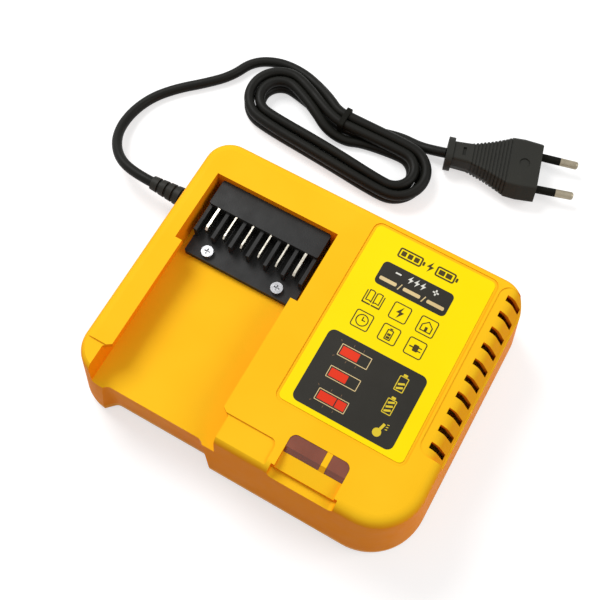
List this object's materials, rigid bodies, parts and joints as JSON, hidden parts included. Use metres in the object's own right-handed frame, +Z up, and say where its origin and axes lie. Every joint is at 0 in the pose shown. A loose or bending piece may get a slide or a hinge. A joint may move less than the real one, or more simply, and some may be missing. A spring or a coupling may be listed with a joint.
{
  "type": "power tool battery charger",
  "caption": "Low desktop charger housing with an open-front dock for slide-on tool batteries, a vented shoulder, an indicator lens, a label field and a tied mains lead with a flat plug.",
  "frame": {"origin": "on the floor under the middle of the housing, level with the undersides of the feet", "axes": "+X to the right, towards the label and vents; +Z up; the open front of the dock faces -Y, and the lead lies behind the housing on the +Y side"},
  "size_m": [0.226, 0.2229, 0.0468],
  "materials": {
    "housing_amber": "satin",
    "label_yellow": "satin film",
    "plate_silver": "matt film",
    "rubber_black": "matt",
    "terminal_black": "matt",
    "contact_nickel": "nickel plated",
    "screw_steel": "zinc plated",
    "lens_smoke": "smoked clear",
    "lamp_clear": "tinted clear",
    "board_green": "solder mask",
    "heatsink_aluminium": "plain",
    "case_black": "moulded epoxy",
    "can_blue": "shrink sleeve",
    "disc_blue": "dipped coating",
    "disc_green": "dipped coating",
    "box_yellow": "moulded",
    "ferrite_grey": "sintered",
    "bobbin_white": "moulded",
    "tape_yellow": "wound tape",
    "wire_copper": "enamelled",
    "fuse_glass": "clear",
    "wire_brown": "insulation",
    "wire_red": "insulation",
    "wire_white": "insulation",
    "cord_black": "satin sheath",
    "tie_black": "satin",
    "plug_black": "moulded",
    "pin_nickel": "nickel plated",
    "sleeve_black": "moulded"
  },
  "bodies": {
    "root": {"base_housing": "housing_amber", "blank_rating_plate": "plate_silver", "board_screws": "screw_steel", "bridge_rectifier": "case_black", "controller_chip": "case_black", "cord_clamp": "terminal_black", "cord_clamp_screws": "screw_steel", "cord_hank": "cord_black", "cord_inner_end": "cord_black", "cord_lead": "cord_black", "cord_strain_relief": "cord_black", "cord_tail": "cord_black", "cord_tie": "tie_black", "filter_capacitor": "box_yellow", "filter_choke_core": "ferrite_grey", "filter_choke_windings": "wire_copper", "fuse_clips": "contact_nickel", "heatsink_screws": "screw_steel", "housing_screws": "screw_steel", "indicator_board": "board_green", "indicator_board_screws": "screw_steel", "indicator_lamps": "lamp_clear", "indicator_lens": "lens_smoke", "indicator_wires": "wire_white", "input_capacitor": "can_blue", "inrush_thermistor": "disc_green", "label_plate": "label_yellow", "main_board": "board_green", "mains_fuse": "fuse_glass", "mains_input_connector": "bobbin_white", "mains_wires": "wire_brown", "optocoupler": "bobbin_white", "output_capacitors": "can_blue", "output_connector": "bobbin_white", "output_inductor_core": "ferrite_grey", "output_inductor_winding": "wire_copper", "output_rectifier": "case_black", "output_wires": "wire_red", "plug_body": "plug_black", "plug_pin_sleeves": "sleeve_black", "plug_pins": "pin_nickel", "power_terminals": "contact_nickel", "primary_heatsink": "heatsink_aluminium", "rubber_feet": "rubber_black", "safety_capacitor": "disc_blue", "secondary_heatsink": "heatsink_aluminium", "signal_terminals": "contact_nickel", "signal_wires": "wire_white", "surge_varistor": "disc_blue", "switching_transistor": "case_black", "terminal_block": "terminal_black", "terminal_block_screws": "screw_steel", "top_housing": "housing_amber", "transformer_bobbin": "bobbin_white", "transformer_core": "ferrite_grey", "transformer_winding": "tape_yellow"}
  },
  "joints": []
}
